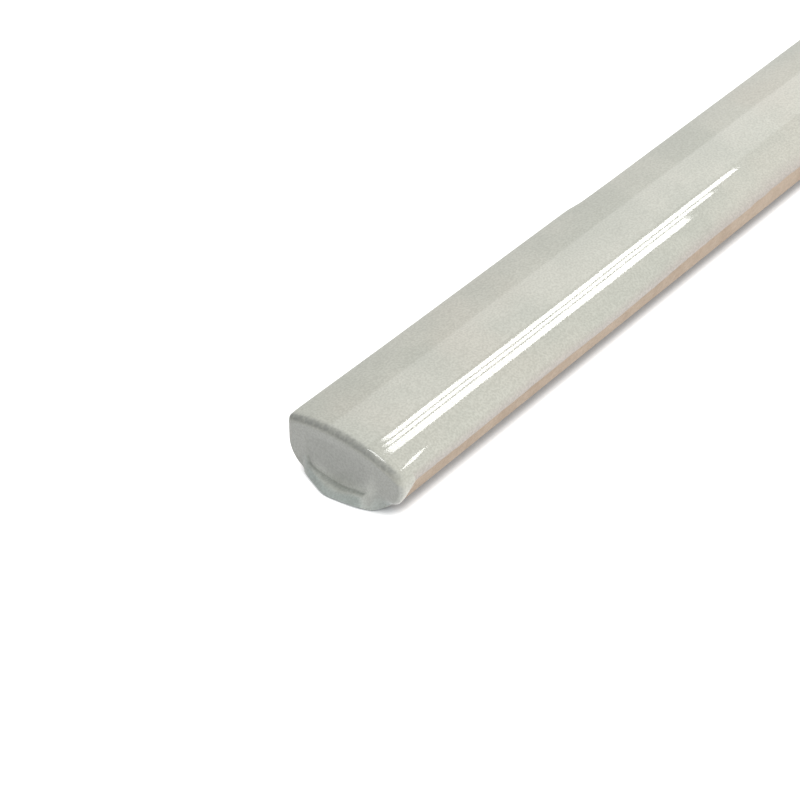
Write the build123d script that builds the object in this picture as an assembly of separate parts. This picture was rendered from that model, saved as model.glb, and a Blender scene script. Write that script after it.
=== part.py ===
# Demi bullnose trim tile: one fired piece of pressed clay, glazed over its face and both ends.
# X runs along the tile, +Y is the straight long side, -Y the rounded nose, +Z out of the face.
# The origin lies on the flat back, under the middle of the tile.
from build123d import *
import os

# Overall sizes, in millimetres
overall_length = 152.0       # with the lip
width = 19.35                # nose to the outermost of the straight side's waves
thickness = 9.1              # back to the face's highest line

# Section across the tile
crown_inset = 7.9            # the face's highest line, in from the straight side
crown_drop = 2.8             # how far the face falls from there to the nose
shoulder_round = 0.7         # glazed corner between the straight side and the face
side_under_round = 4.4       # round that turns the straight side under to the back
nose_height = 5.2            # height of the nose's widest line, and radius of its turn under

# Waves that the hand left in the straight side: how far along from the near end, and how far in
side_waves = [(0, 0.45), (20, 0.33), (42, 0.18), (60, 0.00), (64, 0.05), (68, 0.52),
              (84, 0.50), (108, 0.33), (130, 0.05), (150, 0.15)]

# Glaze
end_round = 0.6              # glazed corner all round each end
glaze_build = 0.2            # how far the glaze stands proud of the bare clay
glaze_run_out = 0.7          # glaze at each end that runs on down to the back
glaze_rise = 1.2             # length over which the bare strip grows to its full height
# Heights of the glaze's lower edge, at even steps from the near end to the far one
nose_glaze_line = [5.30, 5.15, 5.25, 5.35, 5.25, 5.50, 5.80, 5.85, 6.05, 5.85, 5.95, 5.70, 5.85, 5.60]
side_glaze_line = [4.60, 4.40, 4.90, 4.50, 4.80, 4.30, 4.60, 4.50]

# Lip of clay and pooled glaze along the foot of the near end
lip_reach = 2.1              # how far it stands out of the end
lip_root = 0.95              # its height against the end, in the middle
lip_rise = 0.6               # how much higher it is at the root's two corners
lip_tip = 0.4                # its height at the tip
lip_side_inset = 3.2         # root, in from the straight side
lip_side_taper = 4.3         # how much further in the tip lies on that side
lip_nose_inset = 4.5         # root, in from the nose
lip_nose_taper = 2.7         # how much further in the tip lies on that side
lip_corner = 1.2             # round of its two front corners, seen from above
lip_tip_round = 0.25         # round along the top of its tip
lip_bury = 1.5               # how deep the root is let into the end

# Places that follow from the sizes
near_end = lip_reach - overall_length / 2
far_end = overall_length / 2
side_y = width / 2
nose_y = -width / 2
crown_y = side_y - crown_inset
crown_span = crown_y - nose_y
crown_radius = (crown_span**2 + crown_drop**2) / (2 * crown_drop)
crown_centre_z = thickness - crown_radius


def crown_z(y):
    """Height of the face's long arc at one place across the tile."""
    return crown_centre_z + (crown_radius**2 - (y - crown_y)**2)**0.5


def section(inset):
    """Section with spare width on the straight side; an inset draws the nose in."""
    edge_y = nose_y + inset
    spare_y = side_y + shoulder_round
    # The arc over the nose is tangent to the face's arc and to the nose's widest line.
    across = edge_y - crown_y
    up = nose_height - crown_centre_z
    nose_round = (crown_radius**2 - across**2 - up**2) / (2 * (crown_radius + across))
    join_y = crown_y + (across + nose_round) * crown_radius / (crown_radius - nose_round)
    join = (join_y, crown_z(join_y))
    with BuildSketch(Plane.YZ.offset(near_end)) as outline:
        with BuildLine():
            Line((spare_y, 0), (edge_y + nose_height, 0))
            TangentArc((edge_y, nose_height), (edge_y + nose_height, 0), tangent=(0, -1))
            TangentArc((edge_y, nose_height), join, tangent=(0, 1))
            ThreePointArc(join, (crown_y, thickness), (spare_y, crown_z(spare_y)))
            Line((spare_y, crown_z(spare_y)), (spare_y, 0))
        make_face()
    return outline.sketch


def plan(inset):
    """The tile seen from above, with the waves of its straight side."""
    stretch = (far_end - near_end) / side_waves[-1][0]
    wavy = [(near_end + along * stretch, side_y - wave - inset) for along, wave in side_waves]
    with BuildSketch() as outline:
        with BuildLine():
            Spline(*wavy)
            Polyline(wavy[-1], (far_end, nose_y), (near_end, nose_y), wavy[0])
        make_face()
    return outline.sketch


def side_edge(body, height):
    """The long edge of the straight side that lies nearest to a height."""
    side = body.faces().filter_by(Axis.Z, reverse=True).sort_by(Axis.Y)[-1]
    long_edges = side.edges().filter_by(lambda edge: edge.length > overall_length / 2)
    return long_edges.sort_by(lambda edge: abs(edge.center().Z - height))[0]


def bar(inset):
    """The tile's bar, with its straight side turned under to the back."""
    body = extrude(section(inset), far_end - near_end) & extrude(plan(inset), thickness)
    return fillet(side_edge(body, 0), side_under_round)


def glazed_body():
    """The bar as the glaze leaves it, rounded along the shoulder and all round both ends."""
    body = bar(0)
    body = fillet(side_edge(body, thickness), shoulder_round)
    return fillet(body.faces().filter_by(Axis.X).edges(), end_round)


def below_glaze(heights, outward):
    """Everything on one side of the tile below its wavy glaze line, between the glazed ends."""
    start = near_end + glaze_run_out
    stop = far_end - glaze_run_out
    step = (stop - start - 2 * glaze_rise) / (len(heights) - 1)
    line = [(start + glaze_rise + step * place, height) for place, height in enumerate(heights)]
    bend = glaze_rise / 4
    with BuildSketch(Plane.XZ) as outline:
        with BuildLine():
            Line((stop, 0), (start, 0))
            ThreePointArc((start, 0), (start + bend, heights[0] * 0.7), line[0])
            Spline(*line)
            ThreePointArc(line[-1], (stop - bend, heights[-1] * 0.7), (stop, 0))
        make_face()
    return extrude(outline.sketch, -outward * width)


def lip():
    """The lip: a low tongue that narrows from its root on the end's foot to a rounded tip."""
    root_side = side_y - lip_side_inset
    root_nose = nose_y + lip_nose_inset
    tip_side = root_side - lip_side_taper
    tip_nose = root_nose + lip_nose_taper
    corner = lip_root + lip_rise
    middle = (root_side + root_nose) / 2
    with BuildSketch(Plane.YZ.offset(near_end)) as root:
        with BuildLine():
            Polyline((root_nose, corner), (root_nose, 0), (root_side, 0), (root_side, corner))
            ThreePointArc((root_side, corner), (middle, lip_root), (root_nose, corner))
        make_face()
    with BuildSketch(Plane.YZ.offset(near_end - lip_reach)) as tip:
        with BuildLine():
            Polyline((tip_nose, lip_tip), (tip_nose, 0), (tip_side, 0), (tip_side, lip_tip))
            Line((tip_side, lip_tip), (tip_nose, lip_tip))
        make_face()
    tongue = loft([root.sketch, tip.sketch], ruled=True)
    front = tongue.faces().sort_by(Axis.X)[0]
    tongue = fillet(front.edges().filter_by(Axis.Z), lip_corner)
    front = tongue.faces().sort_by(Axis.X)[0]
    tongue = fillet(front.edges().sort_by(Axis.Z)[-1], lip_tip_round)
    return tongue + extrude(root.sketch, lip_bury)


def main():
    clay = bar(glaze_build)
    body = glazed_body()
    body -= below_glaze(nose_glaze_line, -1) - clay
    body -= below_glaze(side_glaze_line, 1) - clay
    tile = body + lip()
    os.makedirs("parts", exist_ok=True)
    export_step(tile, "parts/trim_tile.step")


main()
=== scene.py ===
from math import asin, atan2, cos, exp, hypot, pi, sin
import bmesh
import bpy
from mathutils import Matrix, Vector, noise


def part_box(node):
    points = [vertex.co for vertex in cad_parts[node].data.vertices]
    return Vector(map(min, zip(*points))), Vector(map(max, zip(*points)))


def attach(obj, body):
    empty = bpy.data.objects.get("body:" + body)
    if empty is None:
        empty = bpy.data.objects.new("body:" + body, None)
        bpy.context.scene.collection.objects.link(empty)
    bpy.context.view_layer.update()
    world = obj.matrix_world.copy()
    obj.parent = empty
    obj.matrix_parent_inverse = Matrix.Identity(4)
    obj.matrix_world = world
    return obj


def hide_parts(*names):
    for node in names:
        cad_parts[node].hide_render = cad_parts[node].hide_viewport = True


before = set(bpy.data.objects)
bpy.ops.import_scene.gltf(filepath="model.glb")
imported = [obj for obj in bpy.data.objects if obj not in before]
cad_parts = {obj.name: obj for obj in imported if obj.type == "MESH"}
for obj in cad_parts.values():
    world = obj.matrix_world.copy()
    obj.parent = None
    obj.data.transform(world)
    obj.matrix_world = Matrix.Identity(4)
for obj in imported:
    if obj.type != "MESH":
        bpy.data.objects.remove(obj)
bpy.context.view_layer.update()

# The trim tile is one bar of buff clay, pressed to its section, cut to length and fired.
# A glossy grey-white glaze covers its crown, nose, side and ends, and stops at a wavy line above the foot.
# Sizes here are millimetres; the finished mesh is scaled to metres.
mm = 0.001
low, high = [Vector(corner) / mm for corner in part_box("trim_tile")]
lip_reach = 2.1
near_end = low.x + lip_reach
far_end = high.x
side_y = -low.y
nose_y = low.y
thickness = high.z

crown_inset = 7.9
crown_y = side_y - crown_inset
crown_drop = 2.8
crown_span = crown_y - nose_y
crown_radius = (crown_span**2 + crown_drop**2) / (2 * crown_drop)
crown_centre_z = thickness - crown_radius
nose_height = 5.2
side_under_round = 4.4
shoulder_round = 1.0
end_round = 0.9


def crown_z(y):
    """Height of the crown's long arc at one place across the tile."""
    return crown_centre_z + (crown_radius**2 - (y - crown_y)**2)**0.5


def ease(low_value, high_value, value):
    """Rises smoothly from 0 at the low value to 1 at the high one."""
    t = min(1.0, max(0.0, (value - low_value) / (high_value - low_value)))
    return t * t * (3 - 2 * t)


def smooth_through(points, place):
    """Height at a place on a smooth curve through the points, level beyond its two ends."""
    if place <= points[0][0]:
        return points[0][1]
    for number in range(len(points) - 1):
        (x0, y0), (x1, y1) = points[number], points[number + 1]
        if place <= x1:
            before = points[max(number - 1, 0)]
            after = points[min(number + 2, len(points) - 1)]
            slope0 = (y1 - before[1]) / (x1 - before[0])
            slope1 = (after[1] - y0) / (after[0] - x0)
            t = (place - x0) / (x1 - x0)
            span = x1 - x0
            return ((2 * t**3 - 3 * t**2 + 1) * y0 + (t**3 - 2 * t**2 + t) * span * slope0
                    + (3 * t**2 - 2 * t**3) * y1 + (t**3 - t**2) * span * slope1)
    return points[-1][1]


# The section is drawn as one vertex carried round its arcs and along its straight lines.
# Its rows lie closer together where the glaze may end, on the nose's under side and on the straight side.
tile = bmesh.new()
inward_y = tile.verts.layers.float.new("inward_y")
inward_z = tile.verts.layers.float.new("inward_z")


def only(kind, parts):
    """The parts of one kind, such as the vertices, among those that an operator gives back."""
    return [part for part in parts if isinstance(part, kind)]


def turn(vertex, centre_y, centre_z, angle, steps):
    """Carries the section's outline on round an arc, and returns the vertex at its end."""
    spun = bmesh.ops.spin(tile, geom=[vertex], cent=(near_end, centre_y, centre_z),
                          axis=(1, 0, 0), angle=-angle, steps=steps)
    return only(bmesh.types.BMVert, spun["geom_last"])[0]


def run(vertex, y, z, steps):
    """Carries the section's outline on in a straight line, and returns the vertex at its end."""
    step = (Vector((near_end, y, z)) - vertex.co) / steps
    drawn = bmesh.ops.spin(tile, geom=[vertex], axis=(1, 0, 0), angle=0, dvec=step, steps=steps)
    return only(bmesh.types.BMVert, drawn["geom_last"])[0]


across = nose_y - crown_y
up = nose_height - crown_centre_z
nose_round = (crown_radius**2 - across**2 - up**2) / (2 * (crown_radius + across))
nose_centre_y = nose_y + nose_round
nose_turn = atan2(nose_centre_y - crown_y, up) + pi / 2
shoulder_y = side_y - shoulder_round
shoulder_rise = ((crown_radius - shoulder_round)**2 - (shoulder_y - crown_y)**2)**0.5
shoulder_tilt = atan2(shoulder_y - crown_y, shoulder_rise)
close_rows_low = 4.3
close_rows_high = 5.3
foot_turn = asin((nose_height - close_rows_low) / nose_height)
side_foot_turn = 0.15

start = tile.verts.new((near_end, nose_y + nose_height, 0))
tip = turn(start, nose_y + nose_height, nose_height, pi / 2 - foot_turn, 22)
tip = turn(tip, nose_y + nose_height, nose_height, foot_turn, 11)
tip = turn(tip, nose_centre_y, nose_height, nose_turn, 30)
tip = turn(tip, crown_y, crown_centre_z, pi / 2 - nose_turn + shoulder_tilt, 46)
tip = turn(tip, shoulder_y, crown_centre_z + shoulder_rise, pi / 2 - shoulder_tilt, 8)
tip = run(tip, side_y, close_rows_high, 7)
tip = run(tip, side_y, side_under_round, 10)
tip = turn(tip, side_y - side_under_round, side_under_round, side_foot_turn, 7)
tip = turn(tip, side_y - side_under_round, side_under_round, pi / 2 - side_foot_turn, 20)
run(tip, nose_y + nose_height, 0, 22)
bmesh.ops.remove_doubles(tile, verts=tile.verts, dist=0.001)

# Each vertex keeps the direction that points into the tile, for the roundings and hollows further on.
middle = Vector((near_end, (side_y + nose_y) / 2, thickness / 2))
for vertex in tile.verts:
    before, after = [edge.other_vert(vertex).co for edge in vertex.link_edges]
    inward = (after - before).cross(Vector((1, 0, 0))).normalized()
    if inward.dot(middle - vertex.co) < 0:
        inward.negate()
    vertex[inward_y], vertex[inward_z] = inward.y, inward.z


def draw_out(loop, length, rings):
    """Draws an open end of the wall out along X, divides what is new, and returns its new open end."""
    drawn = bmesh.ops.extrude_edge_only(tile, edges=loop)["geom"]
    fresh = set(only(bmesh.types.BMVert, drawn))
    bmesh.ops.translate(tile, verts=list(fresh), vec=(length, 0, 0))
    rim = [edge for edge in only(bmesh.types.BMEdge, drawn) if set(edge.verts) <= fresh]
    walls = {edge for vertex in fresh for edge in vertex.link_edges} - set(rim)
    bmesh.ops.subdivide_edges(tile, edges=list(walls), cuts=rings - 1)
    return rim


near_loop = list(tile.edges)
close_rings_length = 2.6
reach = far_end - near_end
rim = draw_out(near_loop, end_round, 12)
rim = draw_out(rim, close_rings_length, 24)
rim = draw_out(rim, reach - 2 * end_round - 2 * close_rings_length, 300)
rim = draw_out(rim, close_rings_length, 12)
far_loop = draw_out(rim, end_round, 6)

# The glaze rounds each end's corner, more along the crown than down the sides and along the foot.
side_end_round = 0.5
for vertex in tile.verts:
    inner = min(vertex.co.x - near_end, far_end - vertex.co.x)
    if inner < end_round:
        lean = (1 - inner / end_round) * pi / 2
        radius = side_end_round + (end_round - side_end_round) * max(0.0, -vertex[inward_z])
        drawn_in = radius * (1 - cos(lean))
        place = radius * (1 - sin(lean)) + (end_round - radius) * inner / end_round
        vertex.co.x = near_end + place if vertex.co.x < 0 else far_end - place
        vertex.co.y += vertex[inward_y] * drawn_in
        vertex.co.z += vertex[inward_z] * drawn_in

# Each end is closed by rings that shrink to its middle, close together where the lip meets it.
cap_centre = Vector((0, crown_y - 1.9, 4.4))


def close_end(loop, scales):
    """Closes an end with rings, each one the last one scaled towards the end's middle."""
    for scale in scales:
        drawn = bmesh.ops.extrude_edge_only(tile, edges=loop)["geom"]
        fresh = set(only(bmesh.types.BMVert, drawn))
        bmesh.ops.scale(tile, vec=(1, scale, scale), verts=list(fresh),
                        space=Matrix.Translation(-cap_centre))
        loop = [edge for edge in only(bmesh.types.BMEdge, drawn) if set(edge.verts) <= fresh]
    bmesh.ops.contextual_create(tile, geom=loop)


close_end(near_loop, [0.986] * 34 + [0.85] * 8 + [0.6, 0.4])
close_end(far_loop, [0.8, 0.75, 0.6, 0.5])

# Hand-pressed waves in the straight side, as far along as the first number and in by the second.
side_waves = [(0, 0.36), (1.5, 0.16), (5, 0.13), (20, 0.17), (42, 0.08), (57, 0.00), (61.5, 0.00),
              (65, 0.46), (84, 0.42), (108, 0.25), (130, 0.05), (150, 0.15)]
crown_follows = (4.0, 8.0)
for vertex in tile.verts:
    y, z = vertex.co.y, vertex.co.z
    if y > crown_y:
        wave = max(0.0, smooth_through(side_waves, vertex.co.x - near_end))
        moved_y = y - wave * (y - crown_y) / (side_y - crown_y)
        vertex.co.y = moved_y
        vertex.co.z += (crown_z(moved_y) - crown_z(y)) * ease(*crown_follows, z)

# The lip is clay and glaze that ran down the near end and set along its foot, below a creased line.
# It flows out of the end without a crease on the nose's side. Places are in from the straight side.
crease_heights = [(3.6, 3.2), (3.9, 2.7), (4.2, 1.8), (5.8, 1.18), (9.4, 0.84), (12.0, 1.25),
                  (13.3, 1.5), (15.0, 3.2)]
lip_outline = [(2.0, 0.0), (2.9, 0.1), (5.4, 1.1), (7.9, 2.0), (10.3, 1.85), (13.0, 1.35),
               (14.7, 0.75), (15.8, 0.4), (17.0, 0.15), (18.2, 0.0)]
lip_tip = 0.3
tip_round = 0.25
crease_depth = 0.06
crease_width = 0.16
slope_step = 0.05
dish_depth = 0.10
# Where each trait of the end comes in or fades out, in from the straight side.
crease_starts, crease_stops = (3.5, 4.2), (13.1, 13.6)
flow_starts = (12.8, 14.3)
dish_stops = (13.0, 14.8)
pool_starts = (2.5, 5.0)
foot_light_starts, foot_light_stops = (3.8, 6.0), (13.5, 16.0)
# The same below the crown, and above the crease.
face_top, dish_top = (0.5, 1.1), (1.2, 2.4)
dish_foot = (0, 0.12)
# These values mark the pooled glaze, and where the colour carries painted shade or painted light on the
# near end.
pooled = tile.verts.layers.float.new("pooled")
dished = tile.verts.layers.float.new("dished")
creased = tile.verts.layers.float.new("creased")
end_face = tile.verts.layers.float.new("end_face")
painted_foot_light = tile.verts.layers.float.new("painted_foot_light")
for vertex in tile.verts:
    along = vertex.co.x - near_end
    if along > end_round - 0.001:
        continue
    inset = side_y - vertex.co.y
    z = vertex.co.z
    crease_z = smooth_through(crease_heights, inset)
    ahead = smooth_through(crease_heights, inset + slope_step)
    behind = smooth_through(crease_heights, inset - slope_step)
    slope = (ahead - behind) / (2 * slope_step)
    above = (z - crease_z) / hypot(1, slope)
    out = min(lip_reach, smooth_through(lip_outline, inset))
    flowing = ease(*flow_starts, inset)
    fall = min(1.0, max(0.0, (crease_z - z) / (crease_z - lip_tip)))
    pushed = out * fall ** (0.5 + 1.1 * flowing)
    rounded = min(tip_round, out)
    if z < rounded:
        pushed -= rounded * (1 - (1 - ((rounded - z) / rounded)**2)**0.5)
    taken = ease(0, 0.3, pushed)
    vertex.co.x += taken * (near_end - pushed - vertex.co.x)
    crease_here = ease(*crease_starts, inset) * (1 - ease(*crease_stops, inset))
    groove = exp(-(above / (crease_width if above > 0 else crease_width / 3))**2) * crease_here
    top_gap = crown_z(vertex.co.y) - z
    dish = ease(*dish_top, top_gap) * ease(*dish_foot, above)
    dish = dish * ease(*crease_starts, inset) * (1 - ease(*dish_stops, inset))
    vertex.co.x += crease_depth * groove + dish_depth * dish
    pool_edge = 0.35 + 2.2 * flowing
    vertex[pooled] = ease(0.0, pool_edge, -above) * (1 - 0.4 * flowing) * ease(*pool_starts, inset)
    vertex[dished] = dish
    vertex[creased] = groove
    # Painted light: how far above and below the crease the glaze is lifted against the shade that falls
    # there.
    spread = 1.25 if above > 0 else 0.22 + 2.0 * flowing
    pale = exp(-(above / spread)**2) * ease(*foot_light_starts, inset)
    vertex[painted_foot_light] = pale * (1 - ease(*foot_light_stops, inset))
    vertex[end_face] = ease(*face_top, top_gap) * (1 - ease(0.1, 0.85, along))

# The glaze stops at a wavy line, so the clay below it lies back by the glaze's thickness.
# At both ends it runs on down to the back, along a curve that bends away from the end as it rises.
glaze_build = 0.14
glaze_run_out = 0.5
glaze_rise = 2.4
run_out_bend = 2.5
run_out_steepness = 4
height_limit = 2.0
nose_glaze_line = [5.30, 5.15, 5.25, 5.35, 5.25, 5.50, 5.80, 5.85, 6.05, 5.85, 5.95, 5.70, 5.85, 5.60]
side_glaze_line = [4.60, 4.40, 4.90, 4.50, 4.80, 4.30, 4.60, 4.50]


def line_points(heights):
    """Places and heights of a glaze line, at even steps from one end to the other."""
    step = reach / (len(heights) - 1)
    return [(step * place, height) for place, height in enumerate(heights)]


nose_line = line_points(nose_glaze_line)
side_line = line_points(side_glaze_line)
glazed = tile.verts.layers.float.new("glazed")
# Painted shade darkens the glaze along each end's upper edge, standing for the dark room it mirrors:
# places onto the crown, and heights.
edge_starts, edge_stops = (-1.0, -0.2), (0.35, 1.35)
edge_heights = (6.0, 7.4)
painted_edge_shade = tile.verts.layers.float.new("painted_edge_shade")
for vertex in tile.verts:
    along = vertex.co.x - near_end
    on_nose = vertex.co.y < 0
    line = smooth_through(nose_line if on_nose else side_line, along)
    long_row, short_row = (3.0, 5.0) if on_nose else (8.0, 9.0)
    ripple = 0.10 * noise.noise(Vector((along * 0.45, long_row, 0)))
    ripple += 0.05 * noise.noise(Vector((along * 1.3, short_row, 0)))
    run_out = glaze_run_out + glaze_rise * min(1.0, max(0.0, vertex.co.z / line))**run_out_bend
    height = max(vertex.co.z - line - ripple, run_out_steepness * (run_out - along),
                 run_out_steepness * (run_out - (reach - along)))
    vertex[glazed] = min(height_limit, max(-height_limit, height))
    below = min(1.0, max(0.0, -height / glaze_build))
    set_in = glaze_build * (1 - (1 - below**2)**0.5)
    vertex.co.y += set_in if on_nose else -set_in
    onto_crown = min(along, reach - along) - (crown_z(vertex.co.y) - vertex.co.z)
    edge_here = ease(*edge_starts, onto_crown) * (1 - ease(*edge_stops, onto_crown))
    vertex[painted_edge_shade] = edge_here * ease(*edge_heights, vertex.co.z)

# The end's corner under the nose is worn back, so the foot starts a little further along there.
foot_cut = 1.7
foot_cut_length = 4.5
foot_cut_heights = (0.2, 2.6)
foot_cut_starts = (14.6, 17.0)
for vertex in tile.verts:
    along = vertex.co.x - near_end
    low_down = 1 - ease(*foot_cut_heights, vertex.co.z)
    under_nose = ease(*foot_cut_starts, side_y - vertex.co.y)
    vertex.co.x += foot_cut * low_down * under_nose * (1 - ease(0.0, foot_cut_length, along))

# Long, shallow hollows left by the press and the pull of the melted glaze, everywhere but at the foot.
hollow_depth = 0.025
foot_height = 1.0
for vertex in tile.verts:
    place = vertex.co
    if place.z < foot_height:
        continue
    hollow = 0.5 + 0.5 * noise.noise(Vector((place.x * 0.03, place.y * 0.16, place.z * 0.16)))
    hollow += 0.12 * noise.noise(Vector((place.x * 0.10, place.y * 0.3, place.z * 0.3 + 7)))
    depth = hollow_depth * min(1.0, max(0.0, hollow)) * ease(foot_height, 3.0, place.z)
    vertex.co.y += vertex[inward_y] * depth
    vertex.co.z += vertex[inward_z] * depth

bmesh.ops.recalc_face_normals(tile, faces=tile.faces)
for face in tile.faces:
    face.smooth = True
bmesh.ops.scale(tile, vec=(mm, mm, mm), verts=tile.verts)
tile.verts.layers.float.remove(tile.verts.layers.float["inward_y"])
tile.verts.layers.float.remove(tile.verts.layers.float["inward_z"])
mesh = bpy.data.meshes.new("glazed_tile")
tile.to_mesh(mesh)
tile.free()
glazed_tile = bpy.data.objects.new("glazed_tile", mesh)
bpy.context.scene.collection.objects.link(glazed_tile)

# Grey-white glaze over buff clay, as one material, because the two meet along the glaze line.
# The tile's own attributes say where the glaze is pooled thick or thin and where the clay is bare, and
# where shade is painted in: on the end face, its dish, the crease and each end's upper edge; light is
# painted in around the crease.
glaze_and_clay = bpy.data.materials.new("glaze_and_clay")
glaze_and_clay.use_nodes = True
nodes, links = glaze_and_clay.node_tree.nodes, glaze_and_clay.node_tree.links
shader = nodes["Principled BSDF"]
shader.inputs["IOR"].default_value = 1.52
where = nodes.new("ShaderNodeTexCoord")


def attribute(name):
    """One of the values that the mesh keeps at its vertices."""
    node = nodes.new("ShaderNodeAttribute")
    node.attribute_name = name
    return node.outputs["Fac"]


def speckle(scale, detail, roughness=0.5):
    """Cloudy noise in the tile's own space, with this many clouds to the metre."""
    node = nodes.new("ShaderNodeTexNoise")
    node.inputs["Scale"].default_value = scale
    node.inputs["Detail"].default_value = detail
    node.inputs["Roughness"].default_value = roughness
    links.new(where.outputs["Object"], node.inputs["Vector"])
    return node.outputs["Fac"]


def rescale(value, from_low, from_high, to_low=0.0, to_high=1.0):
    """Carries a value smoothly from one range over to another."""
    node = nodes.new("ShaderNodeMapRange")
    node.interpolation_type = "SMOOTHSTEP"
    for socket, number in zip(node.inputs[1:5], (from_low, from_high, to_low, to_high)):
        socket.default_value = number
    links.new(value, node.inputs["Value"])
    return node.outputs["Result"]


def blend(amount, first, second, kind="MIX"):
    """Colour that goes from the first to the second as the amount goes from 0 to 1."""
    node = nodes.new("ShaderNodeMix")
    node.data_type = "RGBA"
    node.blend_type = kind
    links.new(amount, node.inputs["Factor"])
    for socket, colour in ((node.inputs["A"], first), (node.inputs["B"], second)):
        if isinstance(colour, tuple):
            socket.default_value = (*colour, 1)
        else:
            links.new(colour, socket)
    return node.outputs["Result"]


def combine(operation, first, second):
    """Two values, or a value and a number, put through one operation."""
    node = nodes.new("ShaderNodeMath")
    node.operation = operation
    for socket, value in zip(node.inputs, (first, second)):
        if isinstance(value, (int, float)):
            socket.default_value = value
        else:
            links.new(value, socket)
    return node.outputs["Value"]


glaze_tone = (0.665, 0.665, 0.585)
glaze_shade = (0.60, 0.61, 0.535)
glaze_warm = (0.685, 0.655, 0.57)
edge_shade_tone = (0.37, 0.38, 0.35)
end_shade_tone = (0.57, 0.58, 0.54)
dish_shade_tone = (0.525, 0.535, 0.50)
pool_skylight_tone = (0.60, 0.66, 0.625)
crease_shade_tone = (0.33, 0.35, 0.32)
thin_tone = (0.565, 0.505, 0.465)
clay_tone = (0.55, 0.445, 0.342)
clay_pale = (0.643, 0.522, 0.416)
grain_shade = (0.83, 0.83, 0.82)
patch_shade = (0.90, 0.88, 0.86)
foot_glow = (1.55, 1.55, 1.55)
glaze_roughness = 0.03
end_roughness = 0.3
clay_roughness = 0.85

above_line = attribute("glazed")
clouds = rescale(speckle(90, 3), 0.35, 0.65)
warmth = rescale(speckle(55, 2), 0.5, 0.75)
grain = rescale(speckle(3300, 2), 0.3, 0.7)
colour = blend(clouds, glaze_shade, glaze_tone)
colour = blend(combine("MULTIPLY", warmth, 0.6), colour, glaze_warm)
# The end face is painted a darker grey than the crown: painted shade, added to the shade its lighting
# gives.
colour = blend(attribute("end_face"), colour, end_shade_tone)
# The shallow dish in the end face is painted darker still: painted shade.
colour = blend(attribute("dished"), colour, dish_shade_tone)
# The pooled glaze on the lip has its own greener tint, with painted light on top: lighter and bluer, as if
# lit by the sky.
colour = blend(attribute("pooled"), colour, pool_skylight_tone)
# Painted shade darkens the crease over the lip, besides its real groove.
colour = blend(attribute("creased"), colour, crease_shade_tone)
# Painted light lifts the glaze around the crease, against the shade that falls there.
colour = blend(attribute("painted_foot_light"), colour, foot_glow, "MULTIPLY")
# Painted shade along each end's upper edge, broken up by noise.
edge_shade_mottle = rescale(speckle(1400, 2), 0.3, 0.65, 0.6, 1.0)
colour = blend(combine("MULTIPLY", attribute("painted_edge_shade"), edge_shade_mottle), colour, edge_shade_tone)
thin = rescale(above_line, 0.0, 1.5, 0.85, 0.0)
colour = blend(thin, colour, thin_tone)
colour = blend(grain, colour, grain_shade, "MULTIPLY")
clay_grain = rescale(speckle(2600, 4, 0.7), 0.3, 0.7)
clay = blend(clay_grain, clay_tone, clay_pale)
clay_patches = rescale(speckle(260, 3), 0.38, 0.66)
clay = blend(clay_patches, clay, patch_shade, "MULTIPLY")
bare = rescale(above_line, -0.06, 0.02, 1.0, 0.0)
links.new(blend(bare, colour, clay), shader.inputs["Base Color"])
dull_end = combine("MULTIPLY", attribute("end_face"), end_roughness)
dull = combine("MAXIMUM", rescale(bare, 0, 1, glaze_roughness, clay_roughness), dull_end)
links.new(dull, shader.inputs["Roughness"])

peel_height = 0.000002
pit_depth = 0.00008
peel = combine("MULTIPLY", speckle(60, 0), peel_height)
clay_pits = combine("MULTIPLY", combine("MULTIPLY", speckle(3200, 5, 0.75), bare), pit_depth)
relief = nodes.new("ShaderNodeBump")
relief.inputs["Distance"].default_value = 1.0
relief.inputs["Strength"].default_value = 1.0
links.new(combine("ADD", peel, clay_pits), relief.inputs["Height"])
links.new(relief.outputs["Normal"], shader.inputs["Normal"])

mesh.materials.append(glaze_and_clay)
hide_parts("trim_tile")
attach(glazed_tile, "root")

# The floor is a wide sheet of pale, matt board under the tile.
# To the camera it glows where nothing is near, so it is white; near the tile an occlusion mask, tilted
# towards the light, dims the glow and darkens its colour into a painted contact shadow.
board_tone = (0.80, 0.80, 0.80)
shadow_tone = (0.62, 0.64, 0.66)
shadow_reach = 2 * mm
sheet = bmesh.new()
bmesh.ops.create_grid(sheet, x_segments=1, y_segments=1, size=6.0)
floor_mesh = bpy.data.meshes.new("floor")
sheet.to_mesh(floor_mesh)
sheet.free()
floor = bpy.data.objects.new("floor", floor_mesh)
bpy.context.scene.collection.objects.link(floor)
pale_floor = bpy.data.materials.new("pale_floor")
pale_floor.use_nodes = True
floor_nodes, floor_links = pale_floor.node_tree.nodes, pale_floor.node_tree.links
floor_shader = floor_nodes["Principled BSDF"]
floor_shader.inputs["Roughness"].default_value = 0.9
floor_shader.inputs["Specular IOR Level"].default_value = 0.1
floor_shader.inputs["Emission Color"].default_value = (1, 1, 1, 1)


def seen_directly(tree_nodes, tree_links):
    """1 for what the camera sees, straight or in a gloss or through glass, and 0 for light on surfaces."""
    path = tree_nodes.new("ShaderNodeLightPath")
    total = path.outputs["Is Camera Ray"]
    for name in ("Is Glossy Ray", "Is Transmission Ray"):
        either = tree_nodes.new("ShaderNodeMath")
        either.operation = "MAXIMUM"
        tree_links.new(total, either.inputs[0])
        tree_links.new(path.outputs[name], either.inputs[1])
        total = either.outputs["Value"]
    return total


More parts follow.
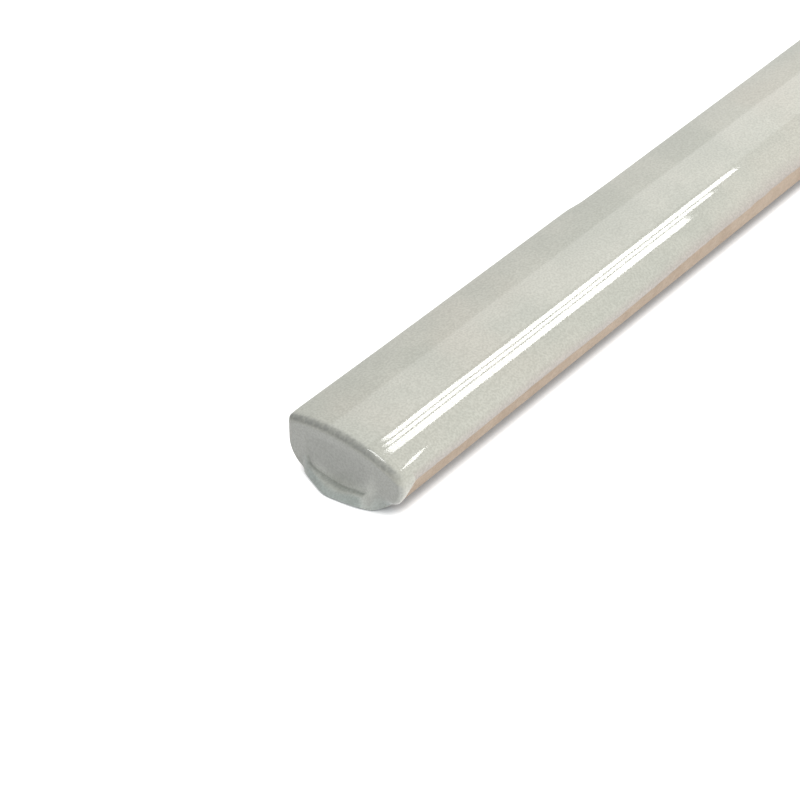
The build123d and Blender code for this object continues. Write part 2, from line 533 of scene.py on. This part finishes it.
# Painted shadow: the tile's closeness, sought on the side towards the light, dims the floor's glow and
# darkens its colour.
nearness = floor_nodes.new("ShaderNodeAmbientOcclusion")
nearness.inputs["Distance"].default_value = shadow_reach
towards_light = floor_nodes.new("ShaderNodeCombineXYZ")
for socket, part in zip(towards_light.inputs, (0.25, 0.6, 0.75)):
    socket.default_value = part
floor_links.new(towards_light.outputs["Vector"], nearness.inputs["Normal"])
open_floor = floor_nodes.new("ShaderNodeMapRange")
open_floor.inputs["From Min"].default_value = 0.25
open_floor.inputs["From Max"].default_value = 0.88
floor_links.new(nearness.outputs["AO"], open_floor.inputs["Value"])
mirrored = floor_nodes.new("ShaderNodeMath")
mirrored.operation = "MAXIMUM"
floor_links.new(floor_nodes.new("ShaderNodeLightPath").outputs["Is Glossy Ray"], mirrored.inputs[0])
floor_links.new(open_floor.outputs["Result"], mirrored.inputs[1])
glow = floor_nodes.new("ShaderNodeMath")
glow.operation = "MULTIPLY"
floor_links.new(seen_directly(floor_nodes, floor_links), glow.inputs[0])
floor_links.new(mirrored.outputs["Value"], glow.inputs[1])
floor_links.new(glow.outputs["Value"], floor_shader.inputs["Emission Strength"])
shaded = floor_nodes.new("ShaderNodeMix")
shaded.data_type = "RGBA"
shaded.inputs["A"].default_value = (*shadow_tone, 1)
shaded.inputs["B"].default_value = (*board_tone, 1)
floor_links.new(open_floor.outputs["Result"], shaded.inputs["Factor"])
floor_links.new(shaded.outputs["Result"], floor_shader.inputs["Base Color"])
floor_mesh.materials.append(pale_floor)

# Soft studio light: an even room, a broad window on the nose's side, and three tubes beyond the far end,
# which the crown mirrors as three bright bands. A small spot and a dim panel give the lesser glints.
# Places and sizes of the lamps are metres.
world = bpy.data.worlds.new("studio")
bpy.context.scene.world = world
world.use_nodes = True
room_nodes, room_links = world.node_tree.nodes, world.node_tree.links
room = room_nodes["Background"]
room.inputs["Color"].default_value = (1, 1, 1, 1)
room_level = room_nodes.new("ShaderNodeMapRange")
room_level.inputs["To Min"].default_value = 0.40
room_level.inputs["To Max"].default_value = 1.0
room_links.new(seen_directly(room_nodes, room_links), room_level.inputs["Value"])
room_links.new(room_level.outputs["Result"], room.inputs["Strength"])


def lamp(name, place, aim, size_x, size_y, brightness):
    """Rectangular lamp of a given brightness, where 1 is as bright as white paper in full light."""
    light = bpy.data.lights.new(name, "AREA")
    light.shape = "RECTANGLE"
    light.size, light.size_y = size_x, size_y
    light.energy = brightness * pi * size_x * size_y
    holder = bpy.data.objects.new(name, light)
    holder.location = place
    holder.rotation_euler = (Vector(aim) - Vector(place)).to_track_quat("-Z", "Y").to_euler()
    bpy.context.scene.collection.objects.link(holder)
    return holder


window = lamp("window", (0.0, -0.75, 0.55), (0, 0, 0), 0.55, 0.4, 5.3)
window.visible_glossy = False
tube_height = 0.6
tube_brightness = 10
# Each tube's place across, its width, and where it starts and stops.
tubes = {"tube_1": (0.108, 0.034, 0.385, 0.685), "tube_2": (0.070, 0.026, 0.379, 0.652),
         "tube_3": (0.025, 0.048, 0.375, 0.622)}
for name, (tube_y, tube_width, tube_start, tube_stop) in tubes.items():
    tube_x = (tube_start + tube_stop) / 2
    lamp(name, (tube_x, tube_y, tube_height), (tube_x, tube_y, 0),
         tube_stop - tube_start, tube_width, tube_brightness)
spot_turn = 1.24
side_spot = lamp("side_spot", (0.390, -0.113, tube_height), (0.390, -0.113, 0), 0.026, 0.011, 11)
side_spot.rotation_euler = (0, 0, spot_turn)
lamp("top_strip", (0.17, 0.025, tube_height), (0.17, 0.025, 0), 0.30, 0.12, 8)
panel = lamp("panel", (0.67, 0.36, tube_height), (0.67, 0.36, 0), 0.84, 0.42, 0.75)
panel.visible_diffuse = False

# The camera has the photograph's angle: it stands before the near end and above it, on the nose's side.
# Its lens is long, and the whole depth is sharp.
camera_data = bpy.data.cameras.new("camera")
camera_data.lens = 102.1
camera_data.sensor_width = 36
camera_data.clip_start = 0.02
camera_data.clip_end = 50
camera = bpy.data.objects.new("camera", camera_data)
camera.location = (-0.2425, -0.1449, 0.1873)
looking = Vector((0.61573, 0.49498, -0.61293))
camera.rotation_euler = looking.to_track_quat("-Z", "Y").to_euler()
bpy.context.scene.collection.objects.link(camera)
bpy.context.scene.camera = camera
bpy.context.scene.view_settings.view_transform = "Standard"
